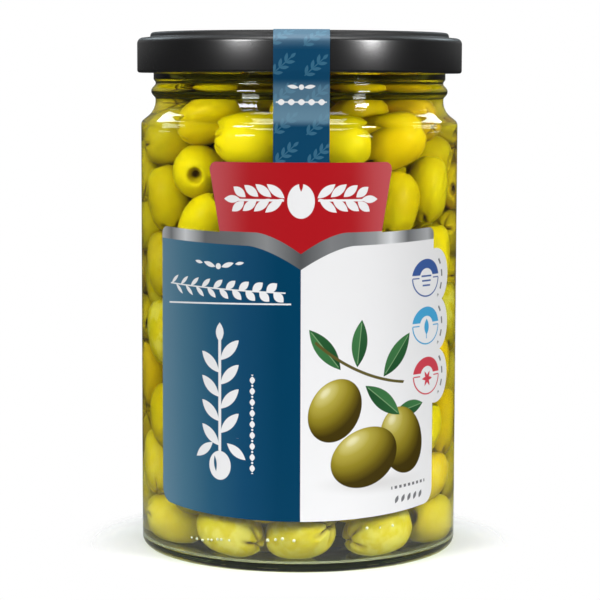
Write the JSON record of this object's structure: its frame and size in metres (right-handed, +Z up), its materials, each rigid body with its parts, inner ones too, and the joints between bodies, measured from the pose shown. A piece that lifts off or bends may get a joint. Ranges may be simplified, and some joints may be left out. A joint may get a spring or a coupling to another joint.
{
  "type": "jar of olives",
  "caption": "Tall round clear glass jar of pitted green olives in brine, with a black twist-off cap, a paper seal over it and a wrap label in front.",
  "frame": {"origin": "middle of the jar's standing ring, on the surface that it stands on", "axes": "+Z up the jar's axis to the cap, -Y out of the middle of the label, +X to the right of a viewer who faces the label"},
  "size_m": [0.086, 0.0865, 0.1372],
  "materials": {
    "glass": "clear, polished",
    "cap": "satin black lacquer",
    "seal": "blue printed paper, semi-gloss",
    "label": "printed paper, semi-gloss",
    "olive": "wet, smooth fruit skin"
  },
  "bodies": {
    "root": {"glass_jar": "glass", "lid": "cap", "seal_strap": "seal", "front_label": "label", "olives": "olive"}
  },
  "joints": []
}
